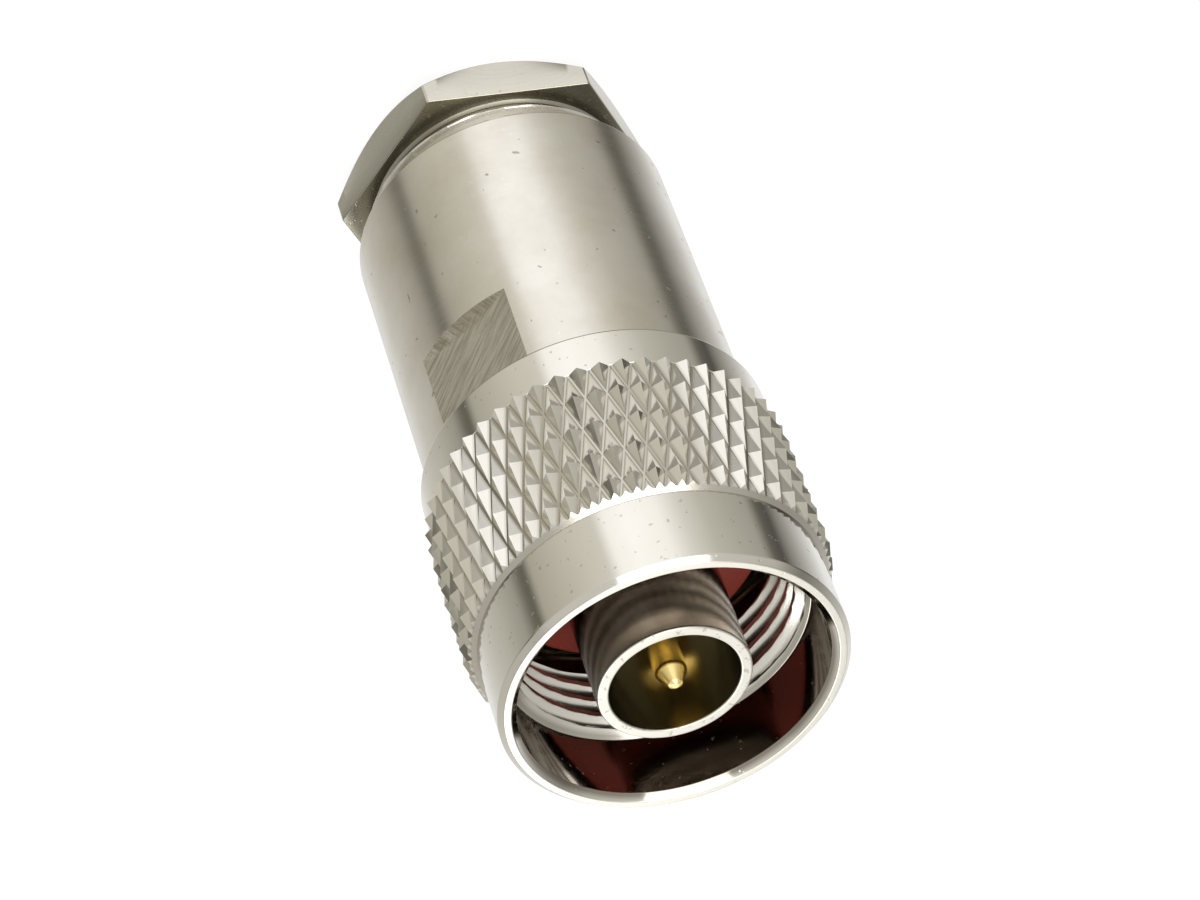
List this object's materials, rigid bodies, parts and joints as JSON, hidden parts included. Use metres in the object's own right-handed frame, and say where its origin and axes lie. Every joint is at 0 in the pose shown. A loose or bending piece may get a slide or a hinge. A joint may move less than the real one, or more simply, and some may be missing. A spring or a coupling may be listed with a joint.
{
  "type": "coaxial cable plug",
  "caption": "Screw-on coaxial plug for cable: knurled coupling nut, centre pin in a tubular contact, body with wrench flats, hexagonal clamp nut.",
  "frame": {"origin": "centre of the clamp nut's rear face, on which the plug stands", "axes": "+Z along the plug's axis towards its mating end; +X out of one of the two wrench flats"},
  "size_m": [0.0196, 0.0196, 0.0399],
  "materials": {
    "nickel_polished": "nickel plated, glossy turned surface",
    "nickel_satin": "nickel plated, satin",
    "nickel_bright": "nickel plated, bright",
    "spring_bronze": "bare spring bronze",
    "gold_plate": "gold plated",
    "fluoropolymer": "white, waxy",
    "red_silicone": "red silicone",
    "black_rubber": "black, matt"
  },
  "bodies": {
    "plug": {"plug_body": "nickel_satin", "outer_contact": "nickel_bright", "front_insulator": "fluoropolymer", "centre_pin": "gold_plate", "rear_insulator": "fluoropolymer", "mating_seal": "red_silicone", "retaining_ring": "spring_bronze", "braid_clamp": "nickel_satin", "cable_seal": "black_rubber"},
    "nut": {"coupling_nut": "nickel_polished"},
    "washer": {"clamp_washer": "nickel_bright"},
    "clamp": {"clamp_nut": "nickel_satin"}
  },
  "joints": [
    {"name": "coupling_nut_spin", "type": "hinge", "parent": "plug", "child": "nut", "pos_m": [0, 0, 0.0318], "axis": [0, 0, 1], "continuous": true},
    {"name": "clamp_washer_slide", "type": "slide", "parent": "plug", "child": "washer", "axis": [0, 0, -1], "range_m": [0, 0.0053]},
    {"name": "clamp_nut_turn", "type": "hinge", "parent": "washer", "child": "clamp", "pos_m": [0, 0, 0.006], "axis": [0, 0, -1], "range_deg": [0, 1800]}
  ],
  "couplings": [
    {"joint": "clamp_washer_slide", "follows": "clamp_nut_turn", "m_per_rad": 0.00016844}
  ]
}
